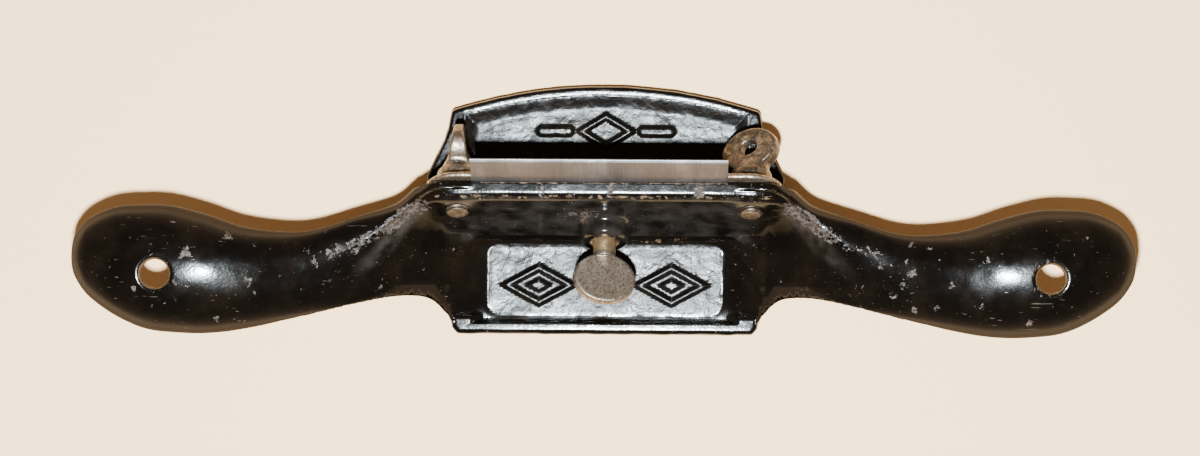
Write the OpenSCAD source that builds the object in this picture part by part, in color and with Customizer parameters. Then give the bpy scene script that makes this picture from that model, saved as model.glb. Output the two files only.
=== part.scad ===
// Cabinet scraper with raised, winged handles: one iron casting, a scraper blade held by a clamp
// bar and two thumb screws, and a third thumb screw behind the blade that bows it.
// X runs along the handles, +Y points to the toe, +Z is up, and the sole lies on Z = 0.

/* [Casting] */
// Half the overall length over both handles
half_span = 146; // [142:0.5:150]
// Thickness of the sole plate, which is also the floor height of both recesses
floor_t = 3; // [2.6:0.1:3.4]
// Height of the rim round the toe and heel
rim_h = 5.2; // [4.6:0.1:5.6]
// Width of the rim round the toe
rim_w = 3.6; // [3:0.1:5]
// Radius of the toe's front arc
toe_r = 139; // [130:1:150]
// Distance from the middle of the sole to its front and rear edges
half_depth = 34.8; // [34:0.1:36]
// Diameter of the hanging hole in each handle
hang_hole_d = 8; // [6:0.5:9]
// Distance of each hanging hole from the middle
hang_hole_x = 121.5; // [118:0.5:126]
// How far behind the middle the hanging holes are
hang_hole_back = 18; // [17:0.5:19]

/* [Bed] */
// Forward lean of the bed and blade from the vertical
lean = 25; // [23:0.5:27]
// Height of the bed's top edge above the sole
bed_h = 28; // [27:0.5:29]
// How far forward the bed's top edge stands
bed_top_y = 7.8; // [7.4:0.1:8]
// Thickness of the bed wall
bed_t = 4.2; // [4:0.1:5]
// Diameter of the boss round the bowing screw
boss_d = 13.5; // [12:0.5:15]
// How far the boss stands out of the bed's rear face
boss_h = 5; // [4:0.5:6]

/* [Mouth] */
// Half the width of the mouth slot in the sole
mouth_half_w = 37; // [36.5:0.1:37.5]
// Front edge of the mouth slot
mouth_front_y = 3; // [2.6:0.1:4]

/* [Blade and clamp bar] */
// Width of the blade
blade_w = 70; // [68:0.5:71]
// Length of the blade, edge to edge
blade_l = 42.5; // [40:0.5:60]
// Thickness of the blade
blade_t = 0.9; // [0.8:0.1:1.2]
// Sideways offset at which the blade is set
blade_x = -1.2; // [-1.4:0.1:1.4]
// Length of the clamp bar
bar_l = 98.6; // [96:0.2:98.6]
// Width of the clamp bar
bar_w = 19; // [17:0.5:19]
// Thickness of the clamp bar
bar_t = 1.6; // [1.4:0.1:1.8]
// Height of the clamp bar's middle above the sole
bar_z = 19.1; // [19:0.1:20]

/* [Screws] */
// Outside diameter of the screw thread
thread_d = 6.35; // [6:0.01:6.4]
// Distance of each clamp screw from the middle
clamp_screw_x = 40.4; // [39.8:0.1:40.6]
// Width of the oval thumb head
head_w = 16.6; // [14:0.2:16.6]
// Length of the oval thumb head along the screw
head_l = 12.8; // [12:0.2:13]
// Thickness of the thumb head at its rim
head_t = 2.9; // [2.4:0.1:3.4]
// Diameter of the collar under a clamp screw's head
collar_d = 11.2; // [10:0.2:11.2]
// Thickness of that collar
collar_t = 4; // [3:0.1:4.2]
// Diameter of the small hole in a clamp screw's head
head_hole_d = 4.8; // [4:0.2:5]
// Turn of the left clamp screw's head
left_turn = 90; // [0:1:180]
// Turn of the right clamp screw's head
right_turn = -27; // [-180:1:180]
// Turn of the bowing screw's head
bow_turn = 12; // [-180:1:180]
// Height above the sole at which the bowing screw meets the blade
bow_z = 9.9; // [9:0.1:12]
// Length of the bowing screw from its point to its head
bow_reach = 13; // [12.6:0.1:14]
// Width of the bowing screw's thumb head
bow_head_w = 17.4; // [16:0.2:18]
// Length of the bowing screw's thumb head along the screw
bow_head_l = 14.6; // [13:0.2:15]

/* [Hidden] */
$fn = 64;
iron = "#1c1c1e";
steel = "#a9a39b";
old_steel = "#8a7863";
// Gap between faces that touch, and the running gap round each screw's thread
face_gap = 0.02;
thread_gap = 0.05;
// Radial gap round a clamp screw in the bar, which is a plain hole
bar_gap = 0.08;
// How far one solid runs into another that it joins
overlap = 1;
// Distances from the bed's front face, measured along its normal
blade_front = blade_t + 2 * face_gap;
bar_front = blade_front + face_gap + bar_t;
// Where the bed's front face meets the sole
bed_foot_y = bed_top_y - bed_h * tan(lean);
// Heights, along the slope of the bed, of the clamp screws and the bowing screw
clamp_u = (bar_z + bar_front * sin(lean)) / cos(lean);
bow_u = bow_z / cos(lean);
// Clamp screw lengths from the bar's front face
tail_proud = 1.8;
clamp_tail = bar_front + bed_t + tail_proud;
clamp_head = 5;
// Bell that narrows from a clamp screw's collar to its head
bell_d = 9.6;
bell_top_d = 4;
bell_h = 5;
// Neck that narrows from the bowing screw's shank, and how far before the head it starts
neck_h = 5.5;
neck_back = 1.5;
neck_top_d = 2.5;
// Root thickness of a clamp screw's head and of the bowing screw's, and the length that tapers
root_t = 6.4;
bow_root_t = 3.6;
taper_l = 9;
// The heel's recess, the heel's corners and the width of the toe
heel_pocket_x = 32.5;
heel_pocket_front = -9.2;
heel_pocket_rear = -30.2;
heel_half_w = 41;
heel_corner_r = 3;
toe_half_w = 43;
// How far the toe's floor stops short of its arc, and its side edge as [outward, y] from toe_floor_w
toe_floor_r = 2.5;
toe_floor_w = toe_half_w - rim_w - 1;
TOE_FLOOR_SIDE = [[0, 26], [1, 18], [3, 10], [3, -1]];
// Half the width of the bed, the broken corners of its top, and the flare of its rear face at the floor
bed_half_w = 45;
bed_corner = 0.6;
bed_root = [1.4, 1];
bed_root_top = [4.6, 5.6];
// How high the mouth's cut runs, and its gap from the plane of the bed's front face
mouth_top = 12;
mouth_gap = 0.01;
// The bores start this far behind the bed's front face, and their cutters are this long
bore_back = 20;
bore_l = 26;
hang_cut_z = 15;
hang_cut_l = 25;

// The side of the sole from its front corner to its rear corner, as [x, y]
SIDE = [[43.4, 27], [44.2, 22.5], [45.5, 18.8], [48.5, 12.6], [50.2, 9], [50, 2], [47.5, -12],
        [44.6, -26.5], [43, -31.5]];

// Cross sections of a handle, from inside the bed to the tip. Each row is
// [x, front y, rear y, crown y, front z, rear z, crown z, front power, rear power, underside z, hollow].
// A power above 1 makes that flank bulge, and one below 1 makes it sag.
SECTIONS = [
    [ 34.3,  -7.6, -30.0,   2.6,  1.6,  4.4, 25.0, 1.00, 0.50,  0.9, 0.0],
    [ 42.0,  -7.0, -30.5,   2.9,  2.2,  6.4, 25.8, 1.00, 0.56,  1.0, 0.0],
    [ 46.5,  -4.6, -26.6,   3.2,  4.0,  9.2, 26.2, 1.00, 0.66,  1.2, 0.0],
    [ 50.6,   6.6, -24.4,   3.0,  8.0, 12.7, 26.2, 2.00, 0.78,  6.0, 0.0],
    [ 58.0,   0.2, -24.3,  -3.0, 17.4, 17.6, 25.4, 1.90, 0.95, 14.0, 0.0],
    [ 68.0,  -3.4, -26.2,  -9.6, 21.8, 21.4, 26.2, 1.90, 1.30, 18.8, 2.0],
    [ 82.0,  -6.8, -29.5, -14.2, 24.0, 23.6, 28.8, 1.95, 1.80, 21.4, 4.0],
    [ 97.0,  -5.4, -32.9, -15.4, 25.2, 24.8, 33.0, 2.00, 2.00, 22.8, 6.0],
    [108.0,  -2.0, -34.4, -15.2, 25.6, 25.4, 35.3, 2.00, 2.00, 23.4, 7.4],
    [118.0,   0.5, -34.2, -15.2, 25.8, 25.8, 36.2, 2.00, 2.00, 23.6, 8.0],
    [126.0,   0.8, -33.0, -15.2, 25.8, 25.8, 36.0, 2.00, 2.00, 23.6, 8.0],
    [134.0,   0.0, -29.4, -15.0, 25.8, 25.8, 34.4, 2.00, 2.00, 23.6, 6.2],
    [141.0,  -3.2, -24.4, -14.4, 25.4, 25.4, 31.2, 2.00, 2.00, 23.6, 1.0],
    [144.8,  -7.6, -19.2, -13.8, 25.0, 25.0, 28.2, 2.00, 2.00, 23.6, 0.0],
    [146.0, -11.6, -15.4, -13.5, 24.7, 24.7, 26.4, 2.00, 2.00, 24.0, 0.0]];
// Rings between two sections, and points over each flank and over the hollow
RING_STEPS = 3;
FLANK_STEPS = 7;
HOLLOW_STEPS = 8;
// How far the edge tucks in under a handle, and the width of its lip
tuck = 0.8;
lip_w = 4.6;
// A point [y, z] inside the first ring and one inside the last
ROOT_HUB = [-9.5, 1.4];
TIP_HUB = [-13.5, 25];

// Catmull-Rom blend of rows a, b, c, d at t between b and c
function blend(a, b, c, d, t) =
    b + t / 2 * (c - a + t * (2 * a - 5 * b + 4 * c - d + t * (3 * (b - c) + d - a)));
function row(i) = SECTIONS[max(0, min(len(SECTIONS) - 1, i))];
function section_at(i, t) = blend(row(i - 1), row(i), row(i + 1), row(i + 2), t);

// One point of a flank that falls from the crown [y, z] to an edge, at angle a from the crown
function flank(crown, edge, power, a) =
    let (r = pow(pow(sin(a), power) + pow(cos(a), power), -1 / power))
    [crown[0] + (edge[0] - crown[0]) * r * sin(a), edge[1] + (crown[1] - edge[1]) * r * cos(a)];

// The closed outline of one section, as [x, y, z] points
function ring(s) =
    let (x = s[0] / row(len(SECTIONS))[0] * half_span,
         front = [s[1], s[4]],
         rear = [s[2], s[5]],
         crown = [s[3], s[6]],
         step = 90 / FLANK_STEPS,
         wide = max(0, s[1] - s[2]),
         edge_in = min(tuck, wide / 8),
         lip = min(lip_w, wide / 4),
         y0 = s[1] - lip,
         y1 = s[2] + lip)
    [for (i = [0 : FLANK_STEPS]) let (p = flank(crown, rear, s[8], 90 - i * step)) [x, p[0], p[1]],
     for (i = [1 : FLANK_STEPS]) let (p = flank(crown, front, s[7], i * step)) [x, p[0], p[1]],
     [x, s[1] - edge_in, s[9]],
     for (i = [0 : HOLLOW_STEPS]) let (w = 2 * i / HOLLOW_STEPS - 1)
         [x, y0 + (y1 - y0) * i / HOLLOW_STEPS, s[9] + s[10] * (1 - w * w)],
     [x, s[2] + edge_in, s[9]]];

module handle() {
    rings = [
        for (i = [0 : len(SECTIONS) - 2]) for (k = [0 : RING_STEPS - 1]) ring(section_at(i, k / RING_STEPS)),
        ring(row(len(SECTIONS)))];
    n = len(rings[0]);
    last = len(rings) - 1;
    // Each end is a fan of triangles round one point inside the end ring
    hubs = [[rings[0][0][0], ROOT_HUB[0], ROOT_HUB[1]], [rings[last][0][0], TIP_HUB[0], TIP_HUB[1]]];
    polyhedron(points = concat([for (r = rings) for (p = r) p], hubs), faces = [
        for (r = [0 : last - 1]) for (k = [0 : n - 1])
            let (a = r * n + k, b = r * n + (k + 1) % n) each [[a, b, b + n], [a, b + n, a + n]],
        for (k = [0 : n - 1]) [(k + 1) % n, k, (last + 1) * n],
        for (k = [0 : n - 1]) [last * n + k, last * n + (k + 1) % n, (last + 1) * n + 1]]);
}

// Frames whose Z axis runs along the bed's normal, forward and down, at a height up the slope
module on_bed(x, u) {
    translate([x, bed_foot_y + u * sin(lean), u * cos(lean)]) rotate([-90 - lean, 0, 0]) children();
}

// Arc of the toe's front edge, drawn in by inset
function toe_arc(inset, half_w) =
    let (r = toe_r - inset, cy = half_depth - toe_r, a = asin(half_w / r))
    [for (i = [-12 : 12]) [r * sin(-a * i / 12), cy + r * cos(a * i / 12)]];

module sole_outline() {
    left = [for (p = SIDE) [-p[0], p[1]]];
    right = [for (i = [len(SIDE) - 1 : -1 : 0]) SIDE[i]];
    polygon(concat(toe_arc(0, toe_half_w), left,
        [for (i = [0 : 6]) [-heel_half_w + heel_corner_r - heel_corner_r * cos(15 * i),
                            -half_depth + heel_corner_r - heel_corner_r * sin(15 * i)]],
        [for (i = [0 : 6]) [heel_half_w - heel_corner_r + heel_corner_r * sin(15 * i),
                            -half_depth + heel_corner_r - heel_corner_r * cos(15 * i)]],
        right));
}

// The floor of the toe, inside its rim
module toe_floor_outline() {
    last = len(TOE_FLOOR_SIDE) - 1;
    polygon(concat(toe_arc(rim_w, toe_floor_w - toe_floor_r),
        [for (p = TOE_FLOOR_SIDE) [-toe_floor_w - p[0], p[1]]],
        [for (i = [last : -1 : 0]) [toe_floor_w + TOE_FLOOR_SIDE[i][0], TOE_FLOOR_SIDE[i][1]]]));
}

// The bed wall in the YZ plane, lifted clear of the sole's underside
module bed_outline() {
    rear_y = bed_t / cos(lean);
    polygon([
        [bed_foot_y + bed_root[1] * tan(lean), bed_root[1]],
        [bed_top_y - bed_corner * tan(lean), bed_h - bed_corner],
        [bed_top_y - bed_corner, bed_h],
        [bed_top_y - rear_y + bed_corner, bed_h],
        [bed_top_y - rear_y - bed_corner * tan(lean), bed_h - bed_corner],
        [bed_foot_y - rear_y + bed_root_top[0] * tan(lean), bed_root_top[1]],
        [bed_foot_y - rear_y - bed_root[0], bed_root[1]]]);
}

module body_casting() {
    color(iron) difference() {
        union() {
            difference() {
                linear_extrude(rim_h) sole_outline();
                translate([0, 0, floor_t]) linear_extrude(rim_h) toe_floor_outline();
                translate([-heel_pocket_x, heel_pocket_rear, floor_t])
                    cube([2 * heel_pocket_x, heel_pocket_front - heel_pocket_rear, rim_h]);
            }
            translate([-bed_half_w, 0, 0]) rotate([90, 0, 90])
                linear_extrude(2 * bed_half_w) bed_outline();
            on_bed(0, bow_u) translate([0, 0, -bed_t - boss_h]) cylinder(d = boss_d, h = boss_h + overlap);
            handle();
            mirror([1, 0, 0]) handle();
        }
        // The mouth, in front of the bed's front face
        translate([-mouth_half_w, 0, 0]) rotate([90, 0, 90]) linear_extrude(2 * mouth_half_w)
            polygon([[bed_foot_y + mouth_gap - overlap * tan(lean), -overlap],
                     [bed_foot_y + mouth_gap + mouth_top * tan(lean), mouth_top],
                     [mouth_front_y, mouth_top],
                     [mouth_front_y, -overlap]]);
        for (x = [-clamp_screw_x, clamp_screw_x])
            on_bed(x, clamp_u) translate([0, 0, -bore_back]) cylinder(d = thread_d + 2 * thread_gap, h = bore_l);
        on_bed(0, bow_u) translate([0, 0, -bore_back]) cylinder(d = thread_d + 2 * thread_gap, h = bore_l);
        for (x = [-hang_hole_x, hang_hole_x])
            translate([x, -hang_hole_back, hang_cut_z]) cylinder(d = hang_hole_d, h = hang_cut_l);
    }
}

module scraper_blade() {
    bevel = blade_t - 0.1;
    // The blade's front corner lies on the sole's plane
    low = (face_gap + blade_t) * tan(lean);
    color(steel)
        translate([blade_x - blade_w / 2, bed_foot_y, 0]) rotate([90, 0, 90]) rotate(-lean)
        linear_extrude(blade_w) polygon([
            [face_gap, low + bevel],
            [face_gap, low + blade_l - bevel],
            [face_gap + bevel, low + blade_l],
            [face_gap + blade_t, low + blade_l],
            [face_gap + blade_t, low],
            [face_gap + bevel, low]]);
}

module clamp_bar() {
    half = bar_l / 2 - bar_w / 2;
    color(old_steel) on_bed(0, clamp_u) translate([0, 0, bar_front - bar_t]) difference() {
        union() {
            translate([-half, -bar_w / 2, 0]) cube([2 * half, bar_w, bar_t]);
            for (x = [-half, half]) translate([x, 0, 0]) cylinder(d = bar_w, h = bar_t);
        }
        for (x = [-clamp_screw_x, clamp_screw_x])
            translate([x, 0, -overlap]) cylinder(d = thread_d + 2 * bar_gap, h = bar_t + 2 * overlap);
    }
}

// Oval thumb head that starts at Z = 0: wide along X, tapering in thickness along Z from its root
module thumb_head(width, length, root) {
    steps = 48;
    intersection() {
        rotate([90, 0, 0]) translate([0, length / 2, -root]) linear_extrude(2 * root)
            polygon([for (i = [0 : steps - 1])
                [width / 2 * cos(360 * i / steps), length / 2 * sin(360 * i / steps)]]);
        rotate([90, 0, 90]) translate([0, 0, -width]) linear_extrude(2 * width) polygon([
            [-root / 2, -overlap], [root / 2, -overlap],
            [head_t / 2, taper_l], [head_t / 2, length + overlap],
            [-head_t / 2, length + overlap], [-head_t / 2, taper_l]]);
    }
}

// Clamp screw with its collar's seat at Z = 0 and its head above
module clamp_screw(turn) {
    color(old_steel) rotate([0, 0, turn]) difference() {
        union() {
            translate([0, 0, -clamp_tail]) cylinder(d = thread_d, h = clamp_tail + overlap);
            translate([0, 0, face_gap]) cylinder(d = collar_d, h = collar_t);
            translate([0, 0, collar_t]) cylinder(d1 = bell_d, d2 = bell_top_d, h = bell_h);
            translate([0, 0, clamp_head]) thumb_head(head_w, head_l, root_t);
        }
        translate([0, 0, clamp_head + head_l / 2]) rotate([90, 0, 0])
            cylinder(d = head_hole_d, h = 2 * root_t, center = true);
    }
}

module clamp_screw_left() {
    on_bed(-clamp_screw_x, clamp_u) translate([0, 0, bar_front]) clamp_screw(left_turn);
}

module clamp_screw_right() {
    on_bed(clamp_screw_x, clamp_u) translate([0, 0, bar_front]) clamp_screw(right_turn);
}

module bow_screw() {
    color(old_steel) on_bed(0, bow_u) mirror([0, 0, 1]) rotate([0, 0, bow_turn]) union() {
        translate([0, 0, face_gap]) cylinder(d = thread_d, h = bow_reach + overlap);
        translate([0, 0, bow_reach - neck_back]) cylinder(d1 = thread_d, d2 = neck_top_d, h = neck_h);
        translate([0, 0, bow_reach]) thumb_head(bow_head_w, bow_head_l, bow_root_t);
    }
}

body_casting();
scraper_blade();
clamp_bar();
clamp_screw_left();
clamp_screw_right();
bow_screw();
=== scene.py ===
"""A cabinet scraper with raised handles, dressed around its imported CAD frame.

Shapes are worked out in millimetres as signed distance fields, turned into meshes, and stored in
metres. X runs along the handles, +Y points to the toe and the sole lies on Z = 0.
"""

import math

import bmesh
import bpy
import numpy as np
from mathutils import Matrix, Vector


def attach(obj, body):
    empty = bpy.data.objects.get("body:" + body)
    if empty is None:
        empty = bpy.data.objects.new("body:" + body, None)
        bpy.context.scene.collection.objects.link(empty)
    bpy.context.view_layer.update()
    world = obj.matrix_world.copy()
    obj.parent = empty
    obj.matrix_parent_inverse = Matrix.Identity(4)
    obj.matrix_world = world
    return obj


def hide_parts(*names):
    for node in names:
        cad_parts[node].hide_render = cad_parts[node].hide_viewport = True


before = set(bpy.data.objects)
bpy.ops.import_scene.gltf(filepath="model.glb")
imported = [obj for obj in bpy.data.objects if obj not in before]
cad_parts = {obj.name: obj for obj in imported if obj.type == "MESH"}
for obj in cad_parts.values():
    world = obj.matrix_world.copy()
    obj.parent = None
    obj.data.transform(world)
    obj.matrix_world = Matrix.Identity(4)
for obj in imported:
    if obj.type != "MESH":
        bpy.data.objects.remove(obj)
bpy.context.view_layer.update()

MM = 0.001
LEAN = math.radians(25)
SIN, COS = math.sin(LEAN), math.cos(LEAN)

# The casting: floors and rim, the toe's arc, the leaning bed wall, the boss, the hanging holes, the mouth
CASTING_GRID = 0.6
FLOOR_T = 3.0
RIM_H = 5.2
TOE_R = 139.0
HALF_DEPTH = 34.8
SOLE_ROUND = 0.8
TOE_FLOOR_ROUND = 1.6
BED_H = 28.0
BED_T = 4.2
BED_END = 50.4
ROOM_X = 49.4
BED_TOP_Y = 7.8
FOOT_Y = BED_TOP_Y - BED_H * SIN / COS
HANDLE_START, HANDLE_END = 38.0, 145.9
BOSS_R = 6.75
BOSS_H = 5.0
BOW_U = 9.9 / COS
HANG_X, HANG_Y, HANG_R = 121.5, -18.0, 4.0
MOUTH_X, MOUTH_Y = 37.0, 3.0

# The raised marks on the two floors
RELIEF_H = 0.8
HEEL_MARK_X, HEEL_MARK_Y = 18.6, -21.0
TOE_MARK_Y, TOE_BAR_X = 22.2, 14.2

# The blade, the bar and the screws, measured from the bed's front face along its normal
BLADE_W, BLADE_L, BLADE_T, BLADE_X = 70.0, 42.5, 0.9, -1.2
BLADE_GAP = 0.02
BAR_L, BAR_W, BAR_T = 98.6, 19.0, 1.6
BAR_FRONT = BLADE_T + 0.06 + BAR_T
CLAMP_X = 40.4
CLAMP_U = (19.1 + BAR_FRONT * SIN) / COS
THREAD_R = 3.175
PITCH = 1.27
BORE_R = THREAD_R + 0.05
TAIL = BAR_FRONT + BED_T + 1.8


# ---------------------------------------------------------------- distance fields

def smin(a, b, k):
    """Union of two fields with a fillet about k wide."""
    h = np.maximum(k - np.abs(a - b), 0) / k
    return np.minimum(a, b) - h * h * k * 0.25


def smax(a, b, k):
    """Intersection of two fields with an edge rounded over about k."""
    return -smin(-a, -b, k)


def step(lo, hi, v):
    t = np.clip((v - lo) / (hi - lo), 0, 1)
    return t * t * (3 - 2 * t)


def polygon(x, y, points):
    """Signed distance to a closed polygon in the XY plane, negative inside."""
    d = np.full(np.broadcast(x, y).shape, 1e9)
    s = np.ones(d.shape)
    n = len(points)
    for i in range(n):
        ax, ay = points[i]
        bx, by = points[i - 1]
        ex, ey = bx - ax, by - ay
        wx, wy = x - ax, y - ay
        t = np.clip((wx * ex + wy * ey) / (ex * ex + ey * ey), 0, 1)
        d = np.minimum(d, (wx - ex * t) ** 2 + (wy - ey * t) ** 2)
        c1, c2, c3 = y >= ay, y < by, ex * wy > ey * wx
        flip = (c1 & c2 & c3) | (~c1 & ~c2 & ~c3)
        s = np.where(flip, -s, s)
    return s * np.sqrt(d)


def rounded_box(x, y, cx, cy, hx, hy, r):
    qx = np.abs(x - cx) - hx + r
    qy = np.abs(y - cy) - hy + r
    return np.hypot(np.maximum(qx, 0), np.maximum(qy, 0)) + np.minimum(np.maximum(qx, qy), 0) - r


def noise(x, y, z, scale, seed=0):
    """Smooth value noise from -1 to 1, the same on every run."""
    p = [np.asarray(c, float) / scale + 64.5 for c in (x, y, z)]
    i = [np.floor(c).astype(np.int64) for c in p]
    f = [c - b for c, b in zip(p, i)]
    f = [t * t * (3 - 2 * t) for t in f]
    total = 0
    for dx in (0, 1):
        for dy in (0, 1):
            for dz in (0, 1):
                h = (i[0] + dx) * 374761393 + (i[1] + dy) * 668265263 + (i[2] + dz) * 2147483647
                h = h + seed * 1013904223
                h = (h ^ (h >> 13)) * 1274126177
                h = ((h ^ (h >> 16)) & 0xFFFF) / 32767.5 - 1
                w = (f[0] if dx else 1 - f[0]) * (f[1] if dy else 1 - f[1]) * (f[2] if dz else 1 - f[2])
                total = total + h * w
    return total


CORNERS = [(0, 0, 0), (1, 0, 0), (0, 1, 0), (1, 1, 0), (0, 0, 1), (1, 0, 1), (0, 1, 1), (1, 1, 1)]
EDGES = [(a, b) for a in range(8) for b in range(a + 1, 8)
         if sum(abs(p - q) for p, q in zip(CORNERS[a], CORNERS[b])) == 1]


def surface_nets(values, lo, h):
    """Vertices and quads of the zero surface of a grid of field values."""
    inside = values < 0
    count = np.zeros(tuple(n - 1 for n in values.shape), np.uint8)
    for c in CORNERS:
        count += inside[c[0]:c[0] + count.shape[0], c[1]:c[1] + count.shape[1], c[2]:c[2] + count.shape[2]]
    cells = np.argwhere((count > 0) & (count < 8))
    index = np.full(count.shape, -1, np.int64)
    index[tuple(cells.T)] = np.arange(len(cells))
    corner = [values[tuple((cells + c).T)] for c in CORNERS]
    total = np.zeros((len(cells), 3))
    hits = np.zeros(len(cells))
    for a, b in EDGES:
        fa, fb = corner[a], corner[b]
        cross = (fa < 0) != (fb < 0)
        t = np.where(cross, fa / np.where(cross, fa - fb, 1), 0)[:, None]
        total += cross[:, None] * (np.array(CORNERS[a]) * (1 - t) + np.array(CORNERS[b]) * t)
        hits += cross
    points = (cells + total / hits[:, None]) * h + lo
    quads = []
    for axis in range(3):
        u, v = (axis + 1) % 3, (axis + 2) % 3
        a = [slice(None)] * 3
        b = [slice(None)] * 3
        for w in (u, v):
            a[w] = b[w] = slice(1, -1)
        a[axis], b[axis] = slice(None, -1), slice(1, None)
        sa, sb = inside[tuple(a)], inside[tuple(b)]
        for change, order in ((sa & ~sb, 1), (~sa & sb, -1)):
            e = np.argwhere(change)
            e[:, u] += 1
            e[:, v] += 1
            ring = []
            for du, dv in ((-1, -1), (0, -1), (0, 0), (-1, 0))[::order]:
                c = e.copy()
                c[:, u] += du
                c[:, v] += dv
                ring.append(index[tuple(c.T)])
            quads.append(np.stack(ring, 1))
    return points, np.concatenate(quads)


def gradient(field, p, eps):
    g = np.empty_like(p)
    for a in range(3):
        q = p.copy()
        q[:, a] += eps
        r = p.copy()
        r[:, a] -= eps
        g[:, a] = (field(*q.T) - field(*r.T)) / (2 * eps)
    return g


def settle(field, p, h, eps):
    """Moves points onto the field's zero surface."""
    g = gradient(field, p, eps)
    size = np.maximum((g * g).sum(1), 1e-3)
    move = (field(*p.T) / size)[:, None] * g
    length = np.maximum(np.linalg.norm(move, axis=1), 1e-9)[:, None]
    return p - move * np.minimum(1, 0.5 * h / length)


def relax(p, quads):
    """Each point moved half way to the middle of its faces' corners."""
    total = np.zeros_like(p)
    hits = np.zeros(len(p))
    middle = p[quads].mean(1)
    for k in range(4):
        np.add.at(total, quads[:, k], middle)
        np.add.at(hits, quads[:, k], 1)
    return 0.5 * p + 0.5 * total / hits[:, None]


def build(name, field, lo, hi, h, detail=None, matrix=None, mirrored=False, rounds=3):
    """A mesh object of field < 0 inside the box. detail(x, y, z) is the height of fine relief."""
    if mirrored:
        half = np.arange(0.5 * h, hi[0] + h, h)
        grid = [half, np.arange(lo[1], hi[1] + h, h), np.arange(lo[2], hi[2] + h, h)]
    else:
        grid = [np.arange(a, b + h, h) for a, b in zip(lo, hi)]
    x, y, z = grid[0][:, None, None], grid[1][None, :, None], grid[2][None, None, :]
    values = np.broadcast_to(field(x, y, z), tuple(len(g) for g in grid)).astype(np.float32)
    start = [g[0] for g in grid]
    if mirrored:
        values = np.concatenate([values[::-1], values])
        start[0] = -half[-1]
    p, quads = surface_nets(values, np.array(start), h)

    def full(a, b, c):
        return field(a, b, c) - (detail(a, b, c) if detail else 0)

    eps = 0.12 * h
    for _ in range(rounds):
        p = settle(full, relax(p, quads), h, eps)
    p = settle(full, p, h, eps)
    n = gradient(full, p, 0.5 * h)
    n /= np.maximum(np.linalg.norm(n, axis=1), 1e-9)[:, None]
    m = np.array(matrix) if matrix is not None else np.eye(4)
    p = p @ m[:3, :3].T + m[:3, 3]
    n = n @ m[:3, :3].T
    if np.linalg.det(m[:3, :3]) < 0:
        quads = quads[:, ::-1]
    mesh = bpy.data.meshes.new(name)
    mesh.vertices.add(len(p))
    mesh.vertices.foreach_set("co", (p * MM).astype(np.float32).ravel())
    mesh.loops.add(quads.size)
    mesh.loops.foreach_set("vertex_index", quads.astype(np.int32).ravel())
    mesh.polygons.add(len(quads))
    mesh.polygons.foreach_set("loop_start", np.arange(0, quads.size, 4, dtype=np.int32))
    mesh.update(calc_edges=True)
    mesh.shade_smooth()
    mesh.normals_split_custom_set_from_vertices(n)
    ob = bpy.data.objects.new(name, mesh)
    bpy.context.scene.collection.objects.link(ob)
    return ob


# ---------------------------------------------------------------- the casting

# The sole's side, from the toe to the heel
SIDE = [(43.4, 27), (44.2, 22.5), (45.5, 18.8), (48.5, 12.6), (50.2, 9), (50, 2), (47.5, -12),
        (44.6, -26.5), (43, -31.5)]

# Cross sections of a handle, close to the CAD model's: x, front y, rear y, crown y, front z, rear z,
# crown z, front power, rear power, underside z, hollow
SECTIONS = np.array([
    [37.5, -7.0, -33.0, 5.6, 1.6, 1.4, 26.6, 1.00, 0.50, 0.9, 0.0],
    [41.0, -6.6, -32.0, 5.6, 2.4, 3.6, 27.0, 1.00, 0.50, 1.0, 0.0],
    [44.6, -5.4, -28.8, 5.6, 3.4, 7.9, 27.2, 1.00, 0.50, 1.1, 0.0],
    [46.6, -4.4, -26.5, 5.4, 4.4, 9.4, 27.0, 1.00, 0.52, 1.2, 0.0],
    [50.6, 5.8, -24.4, 3.2, 9.0, 12.8, 26.2, 3.00, 0.56, 6.0, 0.0],
    [58.0, 1.4, -24.3, -3.2, 17.2, 17.6, 25.2, 2.60, 0.68, 14.0, 0.0],
    [68.0, -2.2, -26.2, -10.0, 21.6, 21.4, 26.0, 2.20, 1.10, 18.8, 2.0],
    [82.0, -6.3, -29.5, -14.4, 23.8, 23.4, 28.8, 2.00, 1.75, 21.4, 4.0],
    [97.0, -5.4, -32.9, -15.4, 25.2, 24.8, 33.0, 2.00, 2.00, 22.8, 6.0],
    [108.0, -2.0, -34.4, -15.2, 25.6, 25.4, 35.3, 2.00, 2.00, 23.4, 7.4],
    [118.0, 0.5, -34.2, -15.2, 25.8, 25.8, 36.2, 2.00, 2.00, 23.6, 8.0],
    [126.0, 0.8, -33.0, -15.2, 25.8, 25.8, 36.0, 2.00, 2.00, 23.6, 8.0],
    [134.0, 0.0, -29.4, -15.0, 25.8, 25.8, 34.4, 2.00, 2.00, 23.6, 6.2],
    [141.0, -3.2, -24.4, -14.4, 25.4, 25.4, 31.2, 2.00, 2.00, 23.6, 1.0],
    [144.8, -7.6, -19.2, -13.8, 25.0, 25.0, 28.2, 2.00, 2.00, 23.6, 0.0],
    [146.0, -11.6, -15.4, -13.5, 24.7, 24.7, 26.4, 2.00, 2.00, 24.0, 0.0]])


def smooth_rows(rows, steps=24):
    """Catmull-Rom samples through rows of numbers."""
    pad = np.concatenate([rows[:1], rows, rows[-1:]])
    out = []
    for i in range(len(rows) - 1):
        a, b, c, d = pad[i:i + 4]
        for t in np.arange(steps) / steps:
            out.append(b + t / 2 * (c - a + t * (2 * a - 5 * b + 4 * c - d + t * (3 * (b - c) + d - a))))
    return np.array(out + [rows[-1]])


PROFILE = smooth_rows(SECTIONS)


def toe_arc(inset, half_w, n=24):
    """Points of the toe's front arc, moved in by inset, from right to left."""
    r = TOE_R - inset
    a = math.asin(half_w / r)
    return [(r * math.sin(-a * t), HALF_DEPTH - TOE_R + r * math.cos(a * t)) for t in np.linspace(-1, 1, n)]


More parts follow.
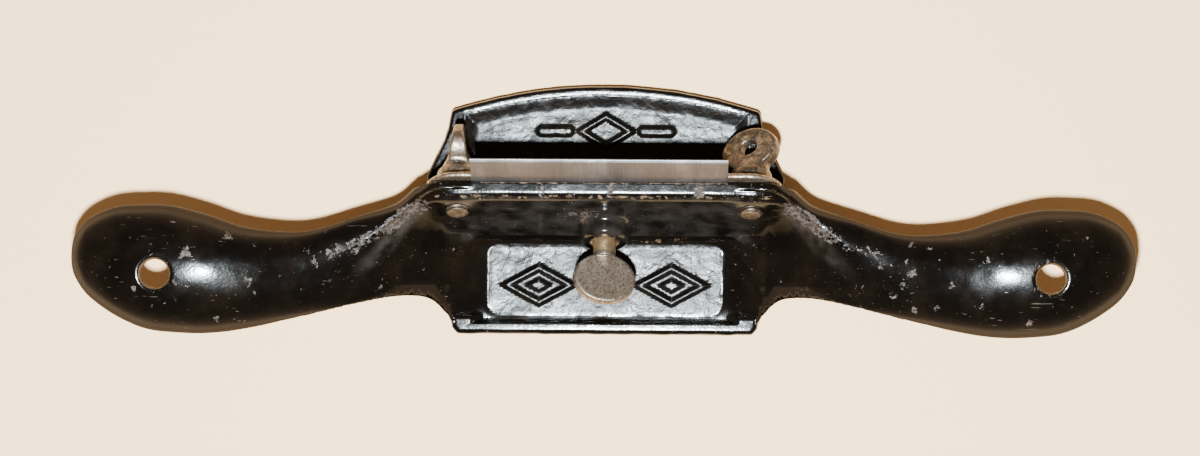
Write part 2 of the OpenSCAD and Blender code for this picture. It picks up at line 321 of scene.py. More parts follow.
def sole_points():
    """The sole's outline, moved in by its rounding."""
    left = [(SOLE_ROUND - x, y) for x, y in SIDE]
    right = [(x - SOLE_ROUND, y) for x, y in SIDE[::-1]]
    heel = [(-42.1, -32.7), (-41, -34), (41, -34), (42.1, -32.7)]
    return toe_arc(SOLE_ROUND, 42.2) + left + heel + right


def toe_floor_points():
    """Inner top edge of the toe's rim."""
    half = [(38.9, 26.6), (39.5, 18), (41.0, 10), (41.0, -4)]
    return toe_arc(3.2, 37.2) + [(-x, y) for x, y in half] + half[::-1]


def toe_inside(x, y):
    return polygon(x, y, toe_floor_points()) - TOE_FLOOR_ROUND


def heel_inside(x, y):
    return rounded_box(x, y, 0, -19.2, 32.8, 10.0, 3.6)


def handle_field(x, y, z):
    """One handle with its neck, for x > 0."""
    s = [np.interp(x, PROFILE[:, 0], PROFILE[:, i]) for i in range(11)]
    yf, yr, yc, zf, zr, zc, pf, pr, zb, hollow = s[1:]
    yf = np.maximum(yf, yc + 1.8 + 1.4 * step(56, 48, x))
    front = y > yc
    a = np.where(front, yf - yc, yc - yr)
    ze = np.where(front, zf, zr)
    power = np.where(front, np.maximum(pf, 3.0 - 1.6 * step(48, 52, x)), pr)
    u = np.abs(y - yc) / a
    v = np.maximum(z - ze, 0) / (zc - ze)
    g = np.maximum((u ** power + v ** power) ** (1 / power), 1e-4)
    rho = np.hypot(u * a, v * (zc - ze))
    over = rho * (1 - 1 / g)
    tuck = 1.2 * np.clip((ze - z) / np.maximum(ze - zb, 0.5), 0, 1)
    beside = np.abs(y - yc) - (a - tuck)
    shell = np.where(z > ze, over, beside)
    d = smax(shell, zb - z, 2.2)
    # The hollow under the grip
    mid = 0.5 * (yf + yr)
    half = np.maximum(0.5 * (yf - yr) - 4.4, 0.5)
    w = np.abs(y - mid) / half
    roof = zb + hollow * (1 - np.minimum(w, 1.4) ** 2)
    cavity = smax(z - roof, shell + 3.2, 1.5)
    d = smax(d, -cavity, 1.6)
    d = smax(d, x - HANDLE_END, 1.5)
    return smax(d, HANDLE_START - x, 1.0)


def bed_normal(y, z):
    """Distance in front of the bed's front face."""
    return (y - FOOT_Y) * COS - z * SIN


def bed_up(y, z):
    """Distance up the bed's slope."""
    return (y - FOOT_Y) * SIN + z * COS


def lozenge(x, y, cx, cy, half_w, half_h):
    """0 at the middle of a lozenge and 1 on its outline."""
    return np.abs((x - cx) / half_w) + np.abs((y - cy) / half_h)


def relief(x, y):
    """Height of the cast ornament on the two floors: plain lozenges and bars."""
    ax = np.abs(x)
    heel = lozenge(ax, y, HEEL_MARK_X, HEEL_MARK_Y, 9.6, 5.2) * 4.5
    ring = np.abs(heel - 4.2) - 0.7
    core = heel - 1.5
    toe = lozenge(x, y, 0, TOE_MARK_Y, 7.6, 4.6) * 4.0
    diamond = np.abs(toe - 3.6) - 0.65
    bar = rounded_box(ax, y, TOE_BAR_X, TOE_MARK_Y, 5.0, 1.2, 1.2)
    d = np.minimum(np.minimum(ring, core), np.minimum(diamond, bar))
    return RELIEF_H * (1 - step(-0.6, 0.7, d))


def top_height(x, y):
    """Height of the toe's and heel's upper surface."""
    ax = np.abs(x)
    edge = toe_inside(x, y)
    floor = FLOOR_T + 0.03 * np.maximum(y - 6, 0)
    toe = RIM_H + 0.09 * np.clip(edge, 0, 3.5)
    toe = toe - (toe - floor) * step(0, 5.2, -edge)
    out = np.clip(heel_inside(x, y), 0, 18)
    sides = out * (0.24 + 0.019 * out) * step(-33, -25, y)
    corner = step(33.2, 38, ax) * step(-26.4, -30.6, y)
    lip = (RIM_H - FLOOR_T) * np.maximum(step(-30.5, -31.9, y), corner)
    return np.where(y > -7, toe, FLOOR_T + np.maximum(sides, lip))


def casting_field(x, y, z):
    ax = np.abs(x)
    out = polygon(x, y, sole_points()) - SOLE_ROUND
    base = smax(out, z - top_height(x, y) - relief(x, y), 1.6 - 0.2 * step(4, 10, y))

    # The leaning wall, thicker round the clamp screws, with a top that falls at its ends
    s, u = bed_normal(y, z), bed_up(y, z)
    mound = 0.9 * np.exp(-((ax - CLAMP_X) ** 2 + (u - CLAMP_U) ** 2) / 30)
    fall = 0.035 * np.maximum(ax - 41, 0) ** 2
    bed = smax(-s - BED_T - mound, z - BED_H + fall, 1.8)
    bed = smax(smax(bed, s, 0.5), ax - BED_END, 2.0)
    handle = handle_field(ax, y, z)
    cheek = 9 * step(49.2, 53, ax)
    handle = smax(handle, s - cheek, 1.0)

    blend = 2.0 + 4.5 * step(-6, -12, y) * step(36, 42, ax) * step(-28, -20, y)
    body = smin(base, handle, blend)
    body = smin(body, bed, 2.6 + 3.4 * step(36, 48, ax))
    reach = BED_T + BOSS_H
    boss = smax(np.hypot(x, u - BOW_U) - BOSS_R, np.abs(s + reach / 2) - reach / 2, 1.6)
    body = smin(body, boss, 2.4)

    # Room for the blade and bar, flush with the bed's front face, and the mouth in the sole
    room = np.maximum(np.maximum(-s, ax - ROOM_X - 2 * step(20, 30, z)), RIM_H + 0.2 - z)
    body = np.maximum(body, -room)
    mouth = np.maximum(np.maximum(-s, y - MOUTH_Y), np.maximum(ax - MOUTH_X, z - 12))
    body = smax(body, -mouth, 0.4)
    bow_bore = np.hypot(x, u - BOW_U) - BORE_R
    clamp_bore = np.hypot(ax - CLAMP_X, u - CLAMP_U) - BORE_R
    body = smax(body, -np.maximum(np.minimum(bow_bore, clamp_bore), np.abs(s + 6) - 8), 0.5)
    body = smax(body, HANG_R - 0.1 - np.hypot(ax - HANG_X, y - HANG_Y), 1.5)
    return smax(body, -z, 0.5)


def casting_detail(x, y, z):
    """Sand-cast pebbling on the two floors, and gentle lumps everywhere but on the blade's seat."""
    floor = step(5.0, 4.2, z) * (np.abs(x) < 45) * (z > 1)
    pebble = 0.03 * noise(x, y, z, 1.8, 3) + 0.13 * noise(x, y, z, 3.6, 5)
    lumps = noise(x, y, z, 7, 1) * 0.045 + noise(x, y, z, 3, 2) * 0.014
    seat = step(0.1, 0.8, np.abs(bed_normal(y, z)))
    return seat * (floor * pebble + lumps * step(0.3, 2.0, z))


# ---------------------------------------------------------------- the small steel pieces

def on_bed(x, up, out, flip=False):
    """Placement with Z along the bed's normal, forward and down, and Y down the slope."""
    m = Matrix.Translation((x, FOOT_Y + up * SIN, up * COS)) @ Matrix.Rotation(-math.pi / 2 - LEAN, 4, "X")
    m = m @ Matrix.Translation((0, 0, out))
    return m @ Matrix.Scale(-1, 4, (0, 0, 1)) if flip else m


HEAD_W, HEAD_L, HEAD_T, ROOT_T, TAPER_L = 16.6, 12.8, 2.9, 6.0, 9.0
COLLAR_R, COLLAR_T, HEAD_UP, HOLE_R = 5.6, 4.0, 5.0, 2.4
BOW_REACH, BOW_W, BOW_L, BOW_ROOT_T = 13.0, 17.4, 14.6, 3.6


def thread(x, y, z):
    """A rod with a cut helical thread."""
    turn = (z / PITCH - np.arctan2(y, x) / (2 * math.pi)) % 1.0
    groove = 0.42 * (1 - np.abs(2 * turn - 1) * 1.35).clip(0, 1)
    return np.hypot(x, y) - (THREAD_R - 0.04 - groove * (z < BED_T + BOSS_H - 0.6))


def thumb_head(x, y, z, base, width, length, root):
    """Forged oval head, wide along x, starting at z = base."""
    w = z - base
    rim = np.hypot(x / (width / 2), (w - length / 2) / (length / 2))
    oval = (rim - 1) * length / 2
    t = np.clip(w / TAPER_L, -0.5, 1)
    half = 0.5 * (root + (HEAD_T - root) * t)
    flat = (np.abs(y) - half) * 0.985
    return smax(oval, flat, 1.0)


def clamp_screw_field(x, y, z):
    cone_r = np.interp(z, [COLLAR_T - 0.6, 6, 7.6, 10.6, 14], [5.4, 4.3, 3.3, 2.4, 1.5])
    cone = smax(np.hypot(x, y) - cone_r, np.abs(z - 8) - 6, 1.0)
    head = smin(thumb_head(x, y, z, HEAD_UP, HEAD_W, HEAD_L, ROOT_T), cone, 1.8)
    collar = smax(np.hypot(x, y) - COLLAR_R, np.abs(z - 0.5 * COLLAR_T) - 0.5 * COLLAR_T + 0.02, 0.8)
    body = smin(head, collar, 1.2)
    hole = HOLE_R - np.hypot(x, z - HEAD_UP - HEAD_L / 2)
    body = smax(body, hole, 1.0)
    tail = smax(thread(x, y, z), -z - TAIL, 0.8)
    return np.minimum(body, smax(tail, z - 1, 0.2))


def bow_screw_field(x, y, z):
    neck = np.hypot(x, y) - np.interp(z, [BOW_REACH - 1.5, BOW_REACH + 4], [3.2, 1.2])
    neck = smax(neck, np.abs(z - BOW_REACH - 1) - 2.6, 0.8)
    head = smin(thumb_head(x, y, z, BOW_REACH, BOW_W, BOW_L, BOW_ROOT_T), neck, 1.0)
    rod = smax(smax(thread(x, y, z), z - BOW_REACH - 1, 0.3), 0.05 - z, 0.8)
    return np.minimum(head, rod)


def clamp_bar_field(x, y, z):
    out = rounded_box(x, y, 0, 0, BAR_L / 2, BAR_W / 2, BAR_W / 2 - 0.01)
    slab = smax(out, np.abs(z - BAR_T / 2) - BAR_T / 2, 0.9)
    return smax(slab, THREAD_R + 0.08 - np.hypot(np.abs(x) - CLAMP_X, y), 0.4)


def forged(seed):
    return lambda x, y, z: noise(x, y, z, 2.2, seed) * 0.035


def screw(name, body, matrix, turn, field, lo, hi):
    m = matrix @ Matrix.Rotation(math.radians(turn), 4, "Z")
    ob = build(name, field, lo, hi, 0.3, forged(len(name)), m)
    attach(ob, body)
    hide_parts(name)
    return ob


def make_blade():
    """The blade: a thin plate with ground bevels, and its corners just broken."""
    bevel = BLADE_T - 0.35
    front = BLADE_GAP + BLADE_T
    low = front * SIN / COS
    top = low + BLADE_L
    outline = [(BLADE_GAP, low + bevel), (BLADE_GAP, top - bevel), (BLADE_GAP + bevel, top),
               (front, top), (front, low), (BLADE_GAP + bevel, low)]
    bm = bmesh.new()
    columns = 36
    rings = []
    for i in range(columns + 1):
        x = BLADE_X + BLADE_W * (i / columns - 0.5)
        ring = []
        for out, up in outline:
            nick = 0.05 * float(noise(x, up, 0, 2.1, 9)) if up > top - 0.5 else 0
            y = FOOT_Y + out * COS + (up + nick) * SIN
            z = (up + nick) * COS - out * SIN
            ring.append(bm.verts.new((x * MM, y * MM, z * MM)))
        rings.append(ring)
    for a, b in zip(rings, rings[1:]):
        for k in range(len(outline)):
            n = (k + 1) % len(outline)
            bm.faces.new((a[k], a[n], b[n], b[k]))
    bm.faces.new(rings[0][::-1])
    bm.faces.new(rings[-1])
    bmesh.ops.recalc_face_normals(bm, faces=bm.faces)
    mesh = bpy.data.meshes.new("blade")
    bm.to_mesh(mesh)
    bm.free()
    ob = bpy.data.objects.new("blade_plate", mesh)
    bpy.context.scene.collection.objects.link(ob)
    bevel_mod = ob.modifiers.new("broken edges", "BEVEL")
    bevel_mod.width = 0.00009
    bevel_mod.segments = 2
    bevel_mod.angle_limit = math.radians(30)
    return ob


# ---------------------------------------------------------------- pieces

casting = build("casting", casting_field, (-147.5, -36, -0.9), (147.5, 36.5, 38.2), CASTING_GRID,
                casting_detail, mirrored=True)
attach(casting, "casting")
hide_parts("body_casting")

blade = make_blade()
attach(blade, "blade")
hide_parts("scraper_blade")

bar = build("bar", clamp_bar_field, (-49.5, -9.8, -0.6), (49.5, 9.8, 2.6), 0.4, forged(4),
            on_bed(0, CLAMP_U, BAR_FRONT - BAR_T))
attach(bar, "bar")
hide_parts("clamp_bar")

CLAMP_BOX = ((-9, -6, -TAIL - 0.7), (9, 6, HEAD_UP + HEAD_L + 0.8))
BOW_BOX = ((-9.6, -4.2, -0.6), (9.6, 4.2, BOW_REACH + BOW_L + 0.8))
left = screw("clamp_screw_left", "left_screw", on_bed(-CLAMP_X, CLAMP_U, BAR_FRONT), 90,
             clamp_screw_field, *CLAMP_BOX)
right = screw("clamp_screw_right", "right_screw", on_bed(CLAMP_X, CLAMP_U, BAR_FRONT), -27,
              clamp_screw_field, *CLAMP_BOX)
bow = screw("bow_screw", "middle_screw", on_bed(0, BOW_U, 0, True), 12, bow_screw_field, *BOW_BOX)


# ---------------------------------------------------------------- materials

class Nodes:
    """Short calls for building one material's node tree, in object coordinates of metres."""

    def __init__(self, name):
        self.material = bpy.data.materials.new(name)
        self.material.use_nodes = True
        self.tree = self.material.node_tree
        self.bsdf = self.tree.nodes["Principled BSDF"]
        self.place = self.tree.nodes.new("ShaderNodeTexCoord").outputs["Object"]

    def link(self, value, socket):
        if isinstance(value, bpy.types.NodeSocket):
            self.tree.links.new(value, socket)
        else:
            socket.default_value = value

    def math(self, operation, a, b):
        node = self.tree.nodes.new("ShaderNodeMath")
        node.operation = operation
        for value, socket in zip((a, b), node.inputs):
            self.link(value, socket)
        return node.outputs[0]

    def noise(self, size_mm, detail=4.0, roughness=0.5, stretch=(1, 1, 1), offset=(0, 0, 0)):
        """Noise from about 0.3 to 0.7 with features about size_mm across."""
        mapping = self.tree.nodes.new("ShaderNodeMapping")
        mapping.inputs["Scale"].default_value = [1000 / size_mm / s for s in stretch]
        mapping.inputs["Location"].default_value = offset
        self.link(self.place, mapping.inputs["Vector"])
        node = self.tree.nodes.new("ShaderNodeTexNoise")
        node.inputs["Scale"].default_value = 1.0
        node.inputs["Detail"].default_value = detail
        node.inputs["Roughness"].default_value = roughness
        self.link(mapping.outputs[0], node.inputs["Vector"])
        return node.outputs["Fac"]

    def ramp(self, value, lo, hi):
        """0 below lo, 1 above hi, smooth between; lo may be the larger."""
        node = self.tree.nodes.new("ShaderNodeMapRange")
        node.interpolation_type = "SMOOTHSTEP"
        flip = lo > hi
        node.inputs["From Min"].default_value = min(lo, hi)
        node.inputs["From Max"].default_value = max(lo, hi)
        node.inputs["To Min"].default_value = 1.0 if flip else 0.0
        node.inputs["To Max"].default_value = 0.0 if flip else 1.0
        self.link(value, node.inputs["Value"])
        return node.outputs["Result"]

    def mix(self, factor, a, b):
        node = self.tree.nodes.new("ShaderNodeMix")
        node.data_type = "RGBA"
        self.link(factor, node.inputs[0])
        self.link(a, node.inputs[6])
        self.link(b, node.inputs[7])
        return node.outputs[2]

    def blend(self, factor, a, b):
        """a where the factor is 0, b where it is 1, for numbers."""
        return self.math("ADD", self.math("MULTIPLY", a, self.math("SUBTRACT", 1.0, factor)),
                         self.math("MULTIPLY", b, factor))

    def bump(self, height, depth_mm, normal=None):
        node = self.tree.nodes.new("ShaderNodeBump")
        node.inputs["Distance"].default_value = depth_mm * MM
        node.inputs["Strength"].default_value = 1.0
        self.link(height, node.inputs["Height"])
        if normal:
            self.link(normal, node.inputs["Normal"])
        return node.outputs[0]

    def attribute(self, name):
        node = self.tree.nodes.new("ShaderNodeAttribute")
        node.attribute_name = name
        return node.outputs["Fac"]

    def finish(self, color, roughness, metallic=0.0, normal=None, specular=0.5):
        self.link(color, self.bsdf.inputs["Base Color"])
        self.link(roughness, self.bsdf.inputs["Roughness"])
        self.link(metallic, self.bsdf.inputs["Metallic"])
        self.link(specular, self.bsdf.inputs["Specular IOR Level"])
        if normal:
            self.link(normal, self.bsdf.inputs["Normal"])
        return self.material


def japanned_iron():
    n = Nodes("japanned_iron")
    floor = n.attribute("floor")
    speck = n.noise(1.1, 5, 0.65)
    patch = n.noise(9, 4, 0.6)
    rub = n.math("ADD", n.attribute("worn"), n.math("MULTIPLY", n.math("SUBTRACT", patch, 0.5), 1.0))
    rub = n.math("ADD", rub, n.math("MULTIPLY", n.math("SUBTRACT", speck, 0.5), 2.2))
    bare = n.ramp(rub, 0.66, 0.74)
    chips = n.math("MULTIPLY", n.ramp(n.noise(1.9, 5, 0.65, (1, 1.4, 1), (3, 5, 1)), 0.66, 0.685),
                   n.ramp(n.noise(13, 2), 0.46, 0.58))
    bare = n.math("MAXIMUM", bare, n.math("MULTIPLY", chips, n.math("SUBTRACT", 1.0, floor)))
    scratch = n.ramp(n.noise(0.5, 2, 0.5, (16, 1, 1), (2, 2, 7)), 0.69, 0.74)
    scratch = n.math("MULTIPLY", scratch, n.ramp(n.noise(14, 2, 0.5, (1, 1, 1), (8, 1, 1)), 0.46, 0.58))
    black = n.mix(n.ramp(patch, 0.4, 0.7), (0.0014, 0.001, 0.0008, 1), (0.004, 0.0026, 0.0016, 1))
    # Grey dust on the bed wall's back, and a painted grey reflection of the board along each neck's crease
    dust_and_sheen = n.math("MULTIPLY", n.attribute("dust_and_sheen"), n.ramp(n.noise(6, 4), 0.3, 0.7))
    black = n.mix(dust_and_sheen, black, (0.034, 0.029, 0.025, 1))
    brown = n.mix(n.ramp(n.noise(1.4, 4), 0.4, 0.6), (0.035, 0.021, 0.012, 1), (0.13, 0.08, 0.042, 1))
    metal = n.mix(n.ramp(n.noise(0.9, 4), 0.4, 0.62), (0.03, 0.022, 0.018, 1), (0.088, 0.07, 0.062, 1))
    color = n.mix(n.math("MULTIPLY", scratch, 0.35), black, (0.16, 0.13, 0.10, 1))
    color = n.mix(bare, color, metal)
    grime = n.math("MULTIPLY", n.math("SUBTRACT", n.noise(1.5, 4), 0.5), 1.6)
    grime = n.ramp(n.math("ADD", n.attribute("dirt"), grime), 0.52, 0.78)
    color = n.mix(grime, color, brown)
    # The hanging holes' walls are painted the brown of the board's shadow
    color = n.mix(n.attribute("wall"), color, (0.36, 0.21, 0.10, 1))
    # Steep outer sides take a painted brown reflection of the board, and are rougher
    steep_painted_reflection = n.attribute("steep_painted_reflection")
    color = n.mix(n.math("MULTIPLY", steep_painted_reflection, 0.7), color, (0.032, 0.02, 0.012, 1))
    smooth = n.blend(n.ramp(n.noise(5, 5, 0.6), 0.35, 0.7), 0.12, 0.18)
    cast = n.blend(n.ramp(n.noise(4, 3), 0.35, 0.65), 0.28, 0.38)
    paint = n.blend(floor, smooth, cast)
    rough = n.blend(bare, n.blend(steep_painted_reflection, paint, 0.42), 0.7)
    rough = n.blend(grime, rough, 0.75)
    pebble = n.math("MULTIPLY", n.noise(2.0, 3, 0.5, (1, 1, 1), (5, 5, 5)), n.math("ADD", floor, 0.1))
    first = n.bump(pebble, 0.2)
    second = n.bump(n.noise(0.7, 3), 0.02, first)
    third = n.bump(n.math("ADD", bare, n.math("MULTIPLY", scratch, 0.3)), -0.02, second)
    specular = n.blend(n.attribute("dull"), 0.27, 0.01)
    return n.finish(color, rough, n.math("MULTIPLY", bare, 0.2), third, specular)


def blade_steel():
    n = Nodes("blade_steel")
    brushed = n.noise(0.45, 4, 0.6, (1, 30, 30))
    mottle = n.noise(7, 4, 0.6)
    color = n.mix(n.ramp(mottle, 0.35, 0.7), (0.19, 0.178, 0.188, 1), (0.28, 0.266, 0.28, 1))
    bands = n.noise(9, 3, 0.5, (1, 40, 40), (1, 4, 4))
    color = n.mix(n.ramp(bands, 0.4, 0.62), color, (0.15, 0.139, 0.144, 1))
    color = n.mix(n.math("MULTIPLY", n.ramp(brushed, 0.35, 0.65), 0.45), color, (0.12, 0.11, 0.114, 1))
    stain = n.ramp(n.noise(3.2, 5, 0.65, (1.5, 1, 1), (2, 7, 4)), 0.62, 0.72)
    color = n.mix(stain, color, (0.24, 0.18, 0.12, 1))
    rough = n.blend(n.ramp(brushed, 0.3, 0.7), 0.34, 0.5)
    return n.finish(color, rough, 0.9, n.bump(brushed, 0.012))


def old_steel(name, pale, dark, grime, shine):
    n = Nodes(name)
    dark_age = [0.42 * c for c in dark[:3]] + [1]
    mottle = n.noise(1.6, 5, 0.6)
    pits = n.ramp(n.noise(0.8, 3, 0.5, (1, 1, 1), (1, 9, 2)), 0.62, 0.7)
    color = n.mix(n.ramp(mottle, 0.38, 0.62), pale, dark)
    color = n.mix(pits, color, grime)
    aged = n.math("MULTIPLY", n.attribute("age"), n.ramp(n.noise(3, 5, 0.65), 0.35, 0.6))
    color = n.mix(aged, color, dark_age)
    color = n.mix(n.math("MULTIPLY", n.ramp(n.noise(0.6, 3, 0.6), 0.5, 0.6), 0.75), color, grime)
    color = n.mix(n.attribute("tan"), color, (0.42, 0.27, 0.13, 1))
    rough = n.blend(n.ramp(mottle, 0.35, 0.65), shine, shine + 0.2)
    normal = n.bump(n.noise(1.0, 5, 0.65), 0.13, n.bump(pits, -0.05))
    return n.finish(color, rough, n.blend(pits, 0.85, 0.2), normal)


def board():
    n = Nodes("pale_floor")
    return n.finish((1.0, 0.65, 0.34, 1), 0.8, 0.0)


def store(ob, name, values):
    """Keeps one number per vertex on the mesh, for its material to read."""
    ob.data.attributes.new(name, "FLOAT", "POINT").data.foreach_set("value", np.asarray(values, np.float32))


def points_mm(ob):
    co = np.empty(len(ob.data.vertices) * 3, np.float32)
    ob.data.vertices.foreach_get("co", co)
    return co.reshape(-1, 3).astype(float) / MM


def bump_at(x, y, cx, cy, rx, ry):
    """1 at a spot and 0 past its oval edge."""
    return np.clip(1 - np.hypot((x - cx) / rx, (y - cy) / ry), 0, 1)


def near_line(x, y, points):
    """Distance to an open line of points in the XY plane."""
    d = np.full(x.shape, 1e9)
    for (ax, ay), (bx, by) in zip(points, points[1:]):
        ex, ey = bx - ax, by - ay
        t = np.clip(((x - ax) * ex + (y - ay) * ey) / (ex * ex + ey * ey), 0, 1)
        d = np.minimum(d, np.hypot(x - ax - t * ex, y - ay - t * ey))
    return d


def bend(field, x, y, z, e):
    """How sharply a surface bends: positive on outside corners and negative in creases."""
    total = -6 * field(x, y, z)
    for a, b, c in ((e, 0, 0), (0, e, 0), (0, 0, e)):
        total = total + field(x + a, y + b, z + c) + field(x - a, y - b, z - c)
    return total / (e * e)


# Chips in the handles' black: x, y, radius
CHIPS = [(-102, -8, 2.2), (-79, -15, 2.6), (-75, -12, 1.6), (-81, -12, 1.6), (-113, -12, 2.6),
         (-105, -30, 2.0), (-96, -20, 2.0), (-95, -10, 1.2), (-68, -11, 2.0), (-116, -20, 1.6),
         (-127, -22, 1.6), (84, -17, 1.8), (82, -20, 2.0), (79, -23, 1.8), (76, -15, 1.4), (95, -20, 1.6),
         (84, -9, 1.4), (89, -10, 1.4), (104, -13, 1.6), (116, -30, 1.6), (103, -26, 1.4), (85, -27, 1.4),
         (91, -26, 1.4), (117, -21, 1.4)]
# The crease, along which a grey reflection is painted, and the worn ridge that run from the bed wall along
# each neck, for x > 0
CREASE = [(52.5, -0.5), (56, -5), (60, -10), (64, -14), (68.5, -17)]
RIDGE = [(45, 2.1), (49.5, 0.8), (54.4, -1), (58.3, -4.3), (62, -7), (68, -9.4), (80, -14.6)]


def worn_places(x, y, z):
    """How far the black is rubbed through, from 0 to 1."""
    ax = np.abs(x)
    top = (z > 26) * (ax < 47)
    # Outside corners, the ridge of each neck, and the middle of each grip
    worn = 0.34 * step(0.35, 1.3, bend(casting_field, x, y, z, 0.7))
    ridge = (0.9 - 0.018 * (ax - 52)) * step(44, 53, ax) * step(3.0, 1.2, near_line(ax, y, RIDGE))
    worn = np.maximum(worn, ridge * (z > 18))
    worn = np.maximum(worn, 0.30 * bump_at(ax, y, 88, -16, 34, 16) ** 0.5 * (z > 22))
    # Round the hanging holes
    hole = np.hypot(ax - HANG_X + 0.8, y - HANG_Y) - HANG_R
    worn = np.maximum(worn, 0.44 * step(3.4, 0.8, hole) * (z > 30))
    # A rubbed spot behind the bed wall, and its top edge
    worn = np.maximum(worn, 0.72 * bump_at(x, y, -8, -1.1, 9, 1.8) ** 0.5 * (z > 15))
    worn = np.maximum(worn, 0.3 * step(4.5, 3.4, np.abs(y - 5.4)) * (z > 26.5) * (ax < 47))
    for spot in (-17, 1.5, 26):
        worn = np.maximum(worn, 0.95 * bump_at(x, y, spot, 5.2, 2.4, 3) ** 0.5 * top)
    for cx, cy, radius in CHIPS:
        worn = np.maximum(worn, 0.85 * bump_at(x, y, cx, cy, radius, radius) ** 0.5 * (z > 20))
    # The sole's underside
    return np.maximum(worn, 0.9 * step(0.6, 0.0, z))


def dirty_places(x, y, z):
    """How thick the brown dirt lies, from 0 to 1."""
    ax = np.abs(x)
    s, u = bed_normal(y, z), bed_up(y, z)
    # The mouth of the boss, two lines along the bed wall's top, its foot, and the heel's lip
    dirt = 0.85 * step(5.2, 3.4, np.hypot(x, u - BOW_U)) * (s < -4)
    dirt = np.maximum(dirt, 0.52 * step(1.0, 0.3, np.abs(y - 3.5)) * (z > 24) * (ax < 47))
    dirt = np.maximum(dirt, 0.9 * step(1.0, 0.4, np.abs(y - 7.9)) * (z > 26) * (ax < 34))
    dirt = np.maximum(dirt, 0.5 * bump_at(x, y, 18, -8.4, 20, 1.6) ** 0.5 * (z < 12))
    return np.maximum(dirt, 0.45 * bump_at(x, y, 0, -29.5, 14, 1.6) ** 0.5 * (z < 6))


def mark_casting(ob):
    p = points_mm(ob)
    x, y, z = p.T
    ax = np.abs(x)
    s = bed_normal(y, z)
    slope = gradient(casting_field, p, 0.3)
    slope /= np.linalg.norm(slope, axis=1)[:, None]
    # Steep outer sides, where a brown reflection of the board is painted, and where the gloss is less
    outer = (slope[:, 1] > 0.1) | (y < -21) | (ax > 68)
    steep_painted_reflection = step(0.9, 0.5, slope[:, 2]) * (z > 0.4) * (ax > 47 - 4 * (y < -21)) * outer
    dull = np.maximum(steep_painted_reflection, 0.9 * bump_at(ax, y, 48.5, -4.5, 9, 8) ** 0.5)
    store(ob, "steep_painted_reflection", steep_painted_reflection)
    store(ob, "dull", np.maximum(dull, 0.3 * (z > 26) * (ax < 47)))
    # The two floors and the inner part of their rims
    inside = -np.minimum(toe_inside(x, y), heel_inside(x, y))
    floor = step(-0.6, 0.8, inside) * (z < 5.1) * (z > 1)
    rim = 0.25 * step(1.4, 0.4, inside) * (z > 4) * (z < 6) * (s > 0)
    store(ob, "floor", np.maximum(floor, rim))
    # Grey dust on the bed wall's back, and a painted grey reflection along each neck's crease
    dust_and_sheen = 0.45 * step(-3.4, -4.0, s) * step(-10, -7, y) * (z > 6) * step(46, 38, ax)
    painted_crease_sheen = 0.8 * step(3.2, 0.2, near_line(ax, y, CREASE)) * (z > 8) * step(70, 60, ax)
    store(ob, "dust_and_sheen", np.maximum(dust_and_sheen, painted_crease_sheen))
    store(ob, "worn", worn_places(x, y, z))
    store(ob, "dirt", dirty_places(x, y, z))
    # The walls of the hanging holes, painted the brown of the board's shadow seen through them
    hole = np.hypot(ax - HANG_X, y - HANG_Y) < HANG_R + 0.6
    store(ob, "wall", step(0.8, 0.3, slope[:, 2]) * hole)


def dress(ob, material):
    ob.data.materials.clear()
    ob.data.materials.append(material)


mark_casting(casting)
dress(casting, japanned_iron())
dress(blade, blade_steel())
bar_steel = old_steel("bar_steel", (0.32, 0.25, 0.18, 1), (0.16, 0.11, 0.07, 1), (0.05, 0.03, 0.02, 1), 0.34)
dress(bar, bar_steel)
screw_steel = old_steel("screw_steel", (0.27, 0.225, 0.175, 1), (0.15, 0.11, 0.08, 1),
                        (0.06, 0.036, 0.02, 1), 0.3)
for piece, age in ((left, 0.6), (right, 1.0), (bow, 0.15)):
    x, y, z = points_mm(piece).T
    tan = (piece is bow) * (bed_normal(y, z) > -BOW_REACH + 0.5) * (0.7 + 0.3 * noise(x, y, z, 1.5, 8))
    store(piece, "tan", tan)
    store(piece, "age", np.full(len(piece.data.vertices), age))
    dress(piece, screw_steel)


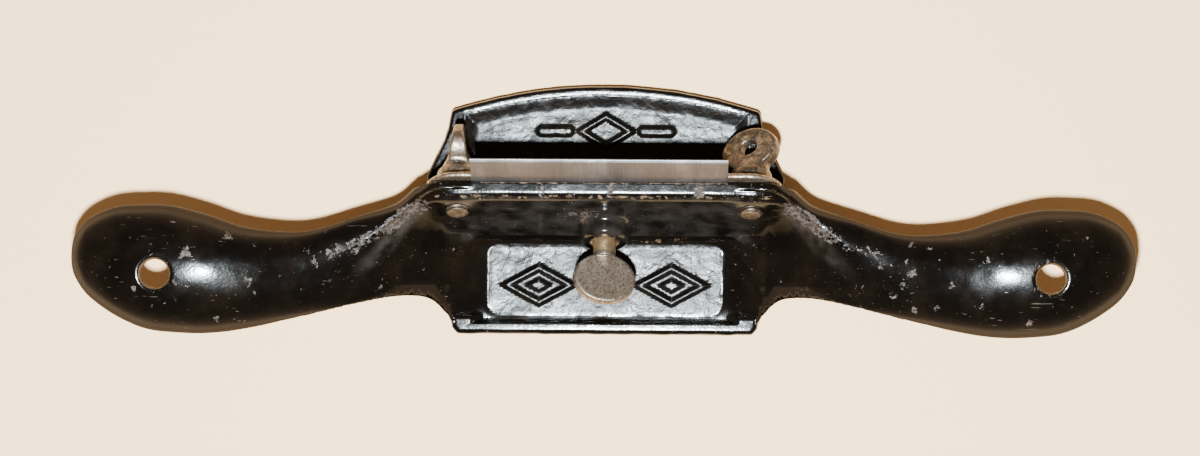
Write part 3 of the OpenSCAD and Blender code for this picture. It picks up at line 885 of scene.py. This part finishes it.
# ---------------------------------------------------------------- floor, light and camera

def plane(name, size, z):
    bpy.ops.mesh.primitive_plane_add(size=size, location=(0, 0, z))
    ob = bpy.context.object
    ob.name = name
    return ob


ground = plane("ground", 6.0, 0.0)
ground.data.materials.append(board())


def area_light(name, place, target, size, power, color):
    light = bpy.data.lights.new(name, "AREA")
    light.shape = "DISK"
    light.size = size
    light.energy = power
    light.color = color
    ob = bpy.data.objects.new(name, light)
    ob.location = place
    ob.rotation_euler = (Vector(target) - Vector(place)).to_track_quat("-Z", "Y").to_euler()
    bpy.context.scene.collection.objects.link(ob)


def make_sky(overhead, horizon, color):
    """Soft light from all round, dim overhead and brighter towards the horizon."""
    world = bpy.data.worlds.new("studio")
    world.use_nodes = True
    tree = world.node_tree
    rays = tree.nodes.new("ShaderNodeTexCoord")
    split = tree.nodes.new("ShaderNodeSeparateXYZ")
    fade = tree.nodes.new("ShaderNodeMapRange")
    for name, value in (("From Min", 0.0), ("From Max", 1.0), ("To Min", horizon), ("To Max", overhead)):
        fade.inputs[name].default_value = value
    background = tree.nodes["Background"]
    background.inputs["Color"].default_value = color
    tree.links.new(rays.outputs["Generated"], split.inputs[0])
    tree.links.new(split.outputs["Z"], fade.inputs["Value"])
    tree.links.new(fade.outputs["Result"], background.inputs["Strength"])
    bpy.context.scene.world = world


def make_camera(place, turn, lens, shift):
    """A camera that looks straight down and is turned by some degrees."""
    camera = bpy.data.cameras.new("camera")
    camera.sensor_width = 36.0
    camera.lens = lens
    camera.shift_x = shift
    eye = bpy.data.objects.new("camera", camera)
    eye.location = place
    eye.rotation_euler[2] = math.radians(turn)
    bpy.context.scene.collection.objects.link(eye)
    bpy.context.scene.camera = eye


area_light("key", place=(-0.006, -0.128, 0.831), target=(0, 0, 0), size=0.045, power=36.0,
           color=(0.86, 0.95, 1.0))
make_sky(overhead=0.13, horizon=0.52, color=(1.0, 0.72, 0.46, 1))
make_camera(place=(0.018, -0.0048, 0.9), turn=0.35, lens=95.8, shift=-0.058)
